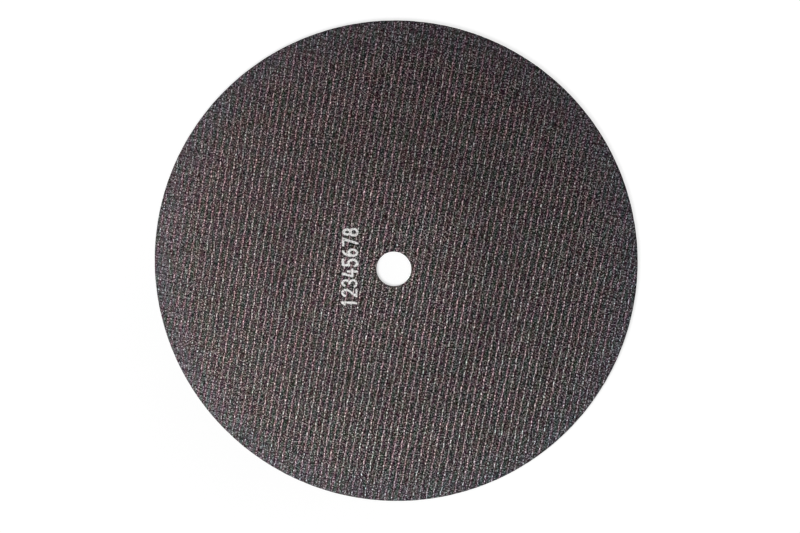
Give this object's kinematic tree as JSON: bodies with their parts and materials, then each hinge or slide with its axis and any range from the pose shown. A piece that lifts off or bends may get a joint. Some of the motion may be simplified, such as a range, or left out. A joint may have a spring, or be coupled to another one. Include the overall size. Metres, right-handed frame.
{
  "type": "abrasive disc",
  "caption": "Flat round cutting disc of resin-bonded abrasive grit, with a glass-fibre mesh pressed into both faces and a plain central bore for a spindle.",
  "frame": {"origin": "on the bore's axis, in the plane that the back face rests on", "axes": "+Z along the bore's axis, out of the front face; the front face's warp threads lean 10.5 degrees from +Y towards +X"},
  "size_m": [0.35, 0.35, 0.003],
  "materials": {
    "bonded_grit": "Dull dark grey-brown resin-bonded grit with paler, pinkish mesh threads showing through."
  },
  "bodies": {
    "root": {"abrasive_disc": "bonded_grit"}
  },
  "joints": []
}
